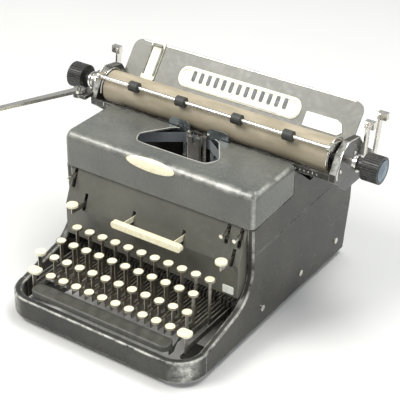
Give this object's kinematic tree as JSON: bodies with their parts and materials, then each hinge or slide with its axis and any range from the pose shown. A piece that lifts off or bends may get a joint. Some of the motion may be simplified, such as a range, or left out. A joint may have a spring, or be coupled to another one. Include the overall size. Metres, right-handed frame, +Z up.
{
  "type": "typewriter",
  "caption": "Wide-carriage desk typewriter: dark enamelled body, round cream keys, lift-up top cover, sliding carriage with rubber platen, paper table and return lever.",
  "frame": {"origin": "on the table, in the plane of the feet, at the middle of the body's footprint", "axes": "+X to the typist's right along the carriage, +Y to the rear, +Z up"},
  "size_m": [0.4683, 0.369, 0.2551],
  "materials": {
    "enamel": "dark grey-black baked enamel, worn bright on rounded edges",
    "rubber_foot": "matt black rubber",
    "steel": "plain machine steel, lightly oiled",
    "nickel": "worn nickel plate",
    "keytop": "aged cream plastic, polished by use",
    "black_plastic": "black moulded plastic, slight gloss",
    "platen_rubber": "aged brown-grey rubber, matt",
    "ribbon_cloth": "inked black woven ribbon",
    "badge": "blank cream enamelled plate"
  },
  "bodies": {
    "base": {"left_side_frame": "enamel", "right_side_frame": "enamel", "front_apron": "enamel", "front_plate": "enamel", "rear_panel": "enamel", "base_ties": "enamel", "rubber_feet": "rubber_foot", "pivot_shafts": "steel", "key_comb": "steel", "spool_cups": "enamel", "card_holder": "steel", "inked_ribbon": "ribbon_cloth", "fixed_rails": "steel", "frame_screws": "steel"},
    "top_cover": {"top_cover": "enamel", "cover_badge": "badge"},
    "type_basket": {"type_segment": "steel", "typebars": "steel"},
    "ribbon_vibrator": {"ribbon_vibrator": "steel"},
    "left_ribbon_spool": {"left_ribbon_spool": "steel"},
    "right_ribbon_spool": {"right_ribbon_spool": "steel"},
    "mainspring_drum": {"mainspring_drum": "steel"},
    "escapement_wheel": {"escapement_wheel": "steel"},
    "carriage": {"carriage_bed": "enamel", "left_carriage_end": "enamel", "right_carriage_end": "enamel", "carriage_front_strip": "enamel", "feed_rollers": "steel", "paper_table": "enamel", "tab_stop_rack": "steel"},
    "platen": {"platen_roller": "platen_rubber", "platen_shaft": "steel", "left_platen_knob": "black_plastic", "right_platen_knob": "black_plastic", "line_ratchet": "steel"},
    "paper_bail": {"paper_bail": "nickel", "bail_rollers": "platen_rubber"},
    "return_lever": {"return_lever": "nickel"},
    "left_carriage_release": {"left_carriage_release": "nickel"},
    "right_carriage_release": {"right_carriage_release": "nickel"},
    "paper_release_lever": {"paper_release_lever": "nickel"},
    "paper_side_guide": {"paper_side_guide": "nickel"},
    "front_row_keys": {"front_row_levers": "nickel", "front_row_keytops": "keytop"},
    "home_row_keys": {"home_row_levers": "nickel", "home_row_keytops": "keytop"},
    "upper_row_keys": {"upper_row_levers": "nickel", "upper_row_keytops": "keytop"},
    "number_row_keys": {"number_row_levers": "nickel", "number_row_keytops": "keytop"},
    "space_bar": {"space_bar": "black_plastic"},
    "shift_keys": {"left_shift_key": "keytop", "right_shift_key": "keytop"},
    "shift_lock": {"shift_lock_key": "keytop"},
    "tab_bar": {"tab_bar": "keytop"},
    "margin_release_key": {"margin_release_key": "keytop"},
    "backspace_key": {"backspace_key": "keytop"},
    "ribbon_reverse_lever": {"ribbon_reverse_lever": "nickel"},
    "ribbon_colour_lever": {"ribbon_colour_lever": "nickel"},
    "touch_control_lever": {"touch_control_lever": "nickel"}
  },
  "joints": [
    {"name": "top_cover_open", "type": "hinge", "parent": "base", "child": "top_cover", "pos_m": [0, 0.03, 0.194], "axis": [1, 0, 0], "range_deg": [-70, 0]},
    {"name": "carriage_travel", "type": "slide", "parent": "base", "child": "carriage", "axis": [1, 0, 0], "range_m": [-0.155, 0.118]},
    {"name": "platen_turn", "type": "hinge", "parent": "carriage", "child": "platen", "pos_m": [0, 0.0594, 0.206], "axis": [1, 0, 0], "continuous": true},
    {"name": "paper_bail_lift", "type": "hinge", "parent": "carriage", "child": "paper_bail", "pos_m": [0, 0.082, 0.214], "axis": [1, 0, 0], "range_deg": [-40, 0]},
    {"name": "return_lever_swing", "type": "hinge", "parent": "carriage", "child": "return_lever", "pos_m": [-0.178, 0.026, 0.205], "axis": [0, 0, 1], "range_deg": [0, 35], "stiffness_Nm_per_rad": 0.05, "springref_deg": -11.46},
    {"name": "left_release_pull", "type": "hinge", "parent": "carriage", "child": "left_carriage_release", "pos_m": [-0.169, 0.096, 0.19], "axis": [1, 0, 0], "range_deg": [0, 15], "stiffness_Nm_per_rad": 0.2, "springref_deg": -8.59},
    {"name": "right_release_pull", "type": "hinge", "parent": "carriage", "child": "right_carriage_release", "pos_m": [0.189, 0.096, 0.19], "axis": [1, 0, 0], "range_deg": [0, 15], "stiffness_Nm_per_rad": 0.2, "springref_deg": -8.59},
    {"name": "paper_release_pull", "type": "hinge", "parent": "carriage", "child": "paper_release_lever", "pos_m": [0.196, 0.112, 0.186], "axis": [1, 0, 0], "range_deg": [0, 10], "stiffness_Nm_per_rad": 0.2, "springref_deg": -8.59},
    {"name": "paper_guide_slide", "type": "slide", "parent": "carriage", "child": "paper_side_guide", "axis": [1, 0, 0], "range_m": [0, 0.06]},
    {"name": "front_row_press", "type": "hinge", "parent": "base", "child": "front_row_keys", "pos_m": [0, 0.09, 0.042], "axis": [1, 0, 0], "range_deg": [0, 3.5], "stiffness_Nm_per_rad": 6, "springref_deg": -5.16},
    {"name": "home_row_press", "type": "hinge", "parent": "base", "child": "home_row_keys", "pos_m": [0, 0.09, 0.042], "axis": [1, 0, 0], "range_deg": [0, 3.5], "stiffness_Nm_per_rad": 6, "springref_deg": -5.16},
    {"name": "upper_row_press", "type": "hinge", "parent": "base", "child": "upper_row_keys", "pos_m": [0, 0.09, 0.042], "axis": [1, 0, 0], "range_deg": [0, 3.5], "stiffness_Nm_per_rad": 6, "springref_deg": -5.16},
    {"name": "number_row_press", "type": "hinge", "parent": "base", "child": "number_row_keys", "pos_m": [0, 0.09, 0.042], "axis": [1, 0, 0], "range_deg": [0, 3.5], "stiffness_Nm_per_rad": 6, "springref_deg": -5.16},
    {"name": "space_bar_press", "type": "hinge", "parent": "base", "child": "space_bar", "pos_m": [0, 0.09, 0.042], "axis": [1, 0, 0], "range_deg": [0, 1.5], "stiffness_Nm_per_rad": 4, "springref_deg": -4.58},
    {"name": "shift_press", "type": "hinge", "parent": "base", "child": "shift_keys", "pos_m": [0, 0.09, 0.042], "axis": [1, 0, 0], "range_deg": [0, 3], "stiffness_Nm_per_rad": 10, "springref_deg": -5.73},
    {"name": "type_basket_drop", "type": "slide", "parent": "base", "child": "type_basket", "axis": [0, 0, 1], "range_m": [-0.0081, 0.0001]},
    {"name": "shift_lock_press", "type": "hinge", "parent": "base", "child": "shift_lock", "pos_m": [0, 0.09, 0.042], "axis": [1, 0, 0], "range_deg": [0, 3], "stiffness_Nm_per_rad": 1.5, "springref_deg": -5.16},
    {"name": "tab_bar_press", "type": "hinge", "parent": "base", "child": "tab_bar", "pos_m": [0, -0.035, 0.109], "axis": [1, 0, 0], "range_deg": [0, 5], "stiffness_Nm_per_rad": 0.4, "springref_deg": -6.88},
    {"name": "margin_release_press", "type": "hinge", "parent": "base", "child": "margin_release_key", "pos_m": [0, -0.035, 0.109], "axis": [1, 0, 0], "range_deg": [0, 5], "stiffness_Nm_per_rad": 0.4, "springref_deg": -6.88},
    {"name": "backspace_press", "type": "hinge", "parent": "base", "child": "backspace_key", "pos_m": [0, -0.035, 0.109], "axis": [1, 0, 0], "range_deg": [0, 5], "stiffness_Nm_per_rad": 0.4, "springref_deg": -6.88},
    {"name": "ribbon_reverse_flip", "type": "hinge", "parent": "base", "child": "ribbon_reverse_lever", "pos_m": [0, -0.035, 0.109], "axis": [1, 0, 0], "range_deg": [-5, 5]},
    {"name": "ribbon_colour_shift", "type": "hinge", "parent": "base", "child": "ribbon_colour_lever", "pos_m": [0, -0.035, 0.109], "axis": [1, 0, 0], "range_deg": [-5, 5]},
    {"name": "touch_control_shift", "type": "hinge", "parent": "base", "child": "touch_control_lever", "pos_m": [0, -0.035, 0.109], "axis": [1, 0, 0], "range_deg": [-5, 5]},
    {"name": "ribbon_vibrator_lift", "type": "slide", "parent": "base", "child": "ribbon_vibrator", "axis": [0, 0, 1], "range_m": [0, 0.012], "stiffness_N_per_m": 20, "springref_m": -0.006},
    {"name": "left_spool_turn", "type": "hinge", "parent": "base", "child": "left_ribbon_spool", "pos_m": [-0.097, 0, 0.17], "axis": [0, 0, 1], "continuous": true},
    {"name": "right_spool_turn", "type": "hinge", "parent": "base", "child": "right_ribbon_spool", "pos_m": [0.097, 0, 0.17], "axis": [0, 0, 1], "continuous": true},
    {"name": "mainspring_drum_turn", "type": "hinge", "parent": "base", "child": "mainspring_drum", "pos_m": [-0.09, 0.147, 0.14], "axis": [0, 0, 1], "continuous": true},
    {"name": "escapement_wheel_turn", "type": "hinge", "parent": "base", "child": "escapement_wheel", "pos_m": [0, 0.134, 0.13], "axis": [0, 1, 0], "continuous": true}
  ],
  "couplings": [
    {"joint": "type_basket_drop", "follows": "shift_press", "m_per_rad": -0.15279},
    {"joint": "right_spool_turn", "follows": "left_spool_turn", "ratio": 1},
    {"joint": "mainspring_drum_turn", "follows": "carriage_travel", "rad_per_m": 40},
    {"joint": "escapement_wheel_turn", "follows": "carriage_travel", "rad_per_m": 117.65}
  ]
}
